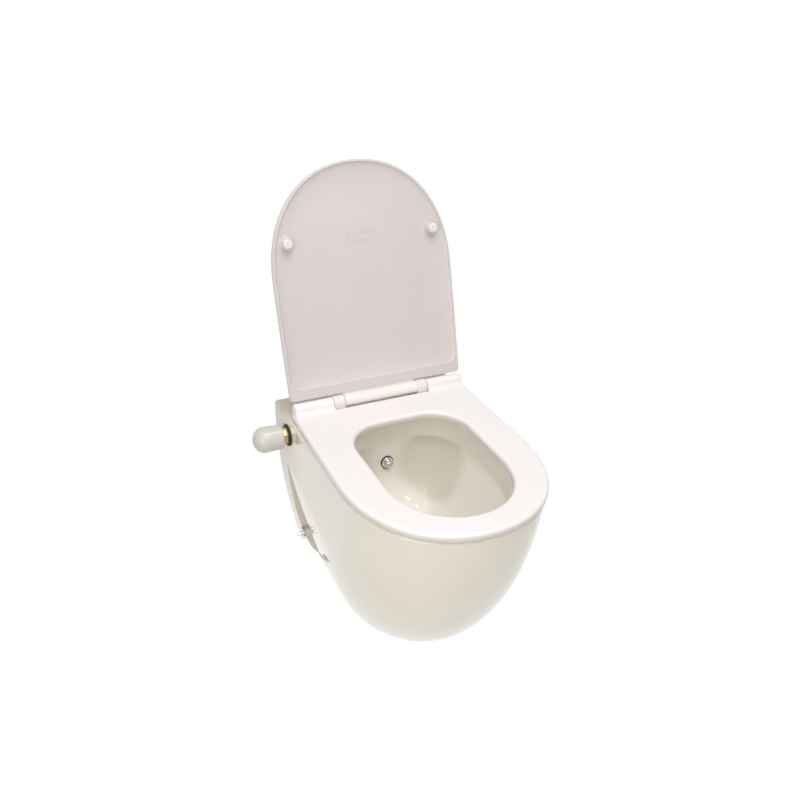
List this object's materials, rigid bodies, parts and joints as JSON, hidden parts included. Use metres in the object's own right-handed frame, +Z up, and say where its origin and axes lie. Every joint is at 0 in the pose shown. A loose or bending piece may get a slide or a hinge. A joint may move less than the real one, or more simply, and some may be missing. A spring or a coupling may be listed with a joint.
{
  "type": "wall-hung bidet toilet",
  "caption": "Wall-hung ceramic toilet pan with a built-in bidet nozzle worked by a side valve knob, and a soft-closing seat and lid on quick-release hinges.",
  "frame": {"origin": "midway between the two wall-stud holes, on the wall face", "axes": "+Y into the wall, +Z up, +X to the right as seen from the front"},
  "size_m": [0.4322, 0.5928, 0.7924],
  "materials": {
    "vitreous_china": "gloss",
    "seat_resin": "gloss",
    "lid_resin": "satin",
    "hinge_resin": "gloss",
    "knob_resin": "gloss",
    "black_rubber": "matte",
    "white_rubber": "matte",
    "brass": "satin",
    "chrome": "polished",
    "steel": "brushed",
    "nylon": "matte"
  },
  "bodies": {
    "pan": {"pan": "vitreous_china", "hinge_knuckle_left": "hinge_resin", "hinge_knuckle_right": "hinge_resin", "hinge_studs": "steel", "hinge_plates": "steel", "seat_screws": "steel", "seat_plugs": "black_rubber", "seat_plug_nuts": "brass", "lid_damper_shaft": "steel", "seat_damper_shaft": "steel", "valve_gasket": "black_rubber", "valve_locknut": "brass", "valve_body": "brass", "valve_backnut": "brass", "feed_tube": "nylon", "tube_nuts": "brass", "nozzle": "chrome", "nozzle_seal": "black_rubber", "nozzle_rose": "chrome", "nozzle_backnut": "brass", "side_sleeves": "nylon", "side_washers": "chrome", "side_screws": "chrome", "wall_bushes": "nylon", "inlet_seal": "black_rubber"},
    "seat": {"seat": "seat_resin", "seat_pads": "white_rubber", "seat_pivot_pin": "steel", "seat_damper": "nylon"},
    "lid": {"lid": "lid_resin", "lid_bumpers": "white_rubber", "lid_pivot_pin": "steel", "lid_damper": "nylon"},
    "knob": {"knob": "knob_resin", "valve_stem": "brass"},
    "release_left": {"release_button_left": "hinge_resin"},
    "release_right": {"release_button_right": "hinge_resin"}
  },
  "joints": [
    {"name": "lid_hinge", "type": "hinge", "parent": "pan", "child": "lid", "pos_m": [0, -0.088, 0.119], "axis": [-1, 0, 0], "range_deg": [-109, 0]},
    {"name": "seat_hinge", "type": "hinge", "parent": "pan", "child": "seat", "pos_m": [0, -0.088, 0.119], "axis": [-1, 0, 0], "range_deg": [0, 104]},
    {"name": "knob_turn", "type": "hinge", "parent": "pan", "child": "knob", "pos_m": [-0.2, -0.069, 0.056], "axis": [-1, 0, 0], "range_deg": [0, 90]},
    {"name": "release_left_push", "type": "slide", "parent": "pan", "child": "release_left", "axis": [0, -1, 0], "range_m": [0, 0.0025], "stiffness_N_per_m": 400},
    {"name": "release_right_push", "type": "slide", "parent": "pan", "child": "release_right", "axis": [0, -1, 0], "range_m": [0, 0.0025], "stiffness_N_per_m": 400}
  ]
}
